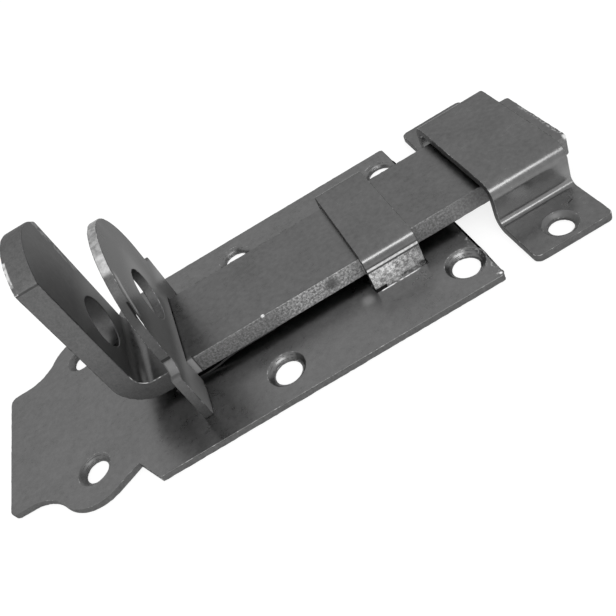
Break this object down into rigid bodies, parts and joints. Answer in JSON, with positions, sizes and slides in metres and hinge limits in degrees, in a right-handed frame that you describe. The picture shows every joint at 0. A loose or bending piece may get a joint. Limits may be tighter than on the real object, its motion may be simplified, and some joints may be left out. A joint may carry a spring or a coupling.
{
  "type": "padbolt",
  "caption": "Flat sliding bolt on a base plate, with a turned-up padlock eye, a fixed eye plate, a guide strap and a separate bent keeper.",
  "frame": {"origin": "middle of the base plate's back face, on the bolt's centre line", "axes": "+X along the bolt towards the keeper, the way it is thrown; +Y across the plate; +Z out of the mounting face"},
  "size_m": [0.1221, 0.0532, 0.0398],
  "materials": {
    "plated_sheet": "dull zinc plate on pressed sheet, faintly mottled, with bright worn burrs at the sheared edges",
    "plated_bar": "dull zinc plate on flat bar, with grainy sheared sides",
    "plated_strip": "dull zinc plate on bent strip, shiny along the bends",
    "spring_steel": "plain spring steel strip"
  },
  "bodies": {
    "mounting": {"base_plate": "plated_sheet", "eye_plate": "plated_sheet", "guide_strap": "plated_strip", "leaf_spring": "spring_steel", "keeper": "plated_strip"},
    "sliding_bolt": {"bolt": "plated_bar"}
  },
  "joints": [
    {"name": "bolt_slide", "type": "slide", "parent": "mounting", "child": "sliding_bolt", "axis": [1, 0, 0], "range_m": [-0.0241, 0.0062]}
  ]
}
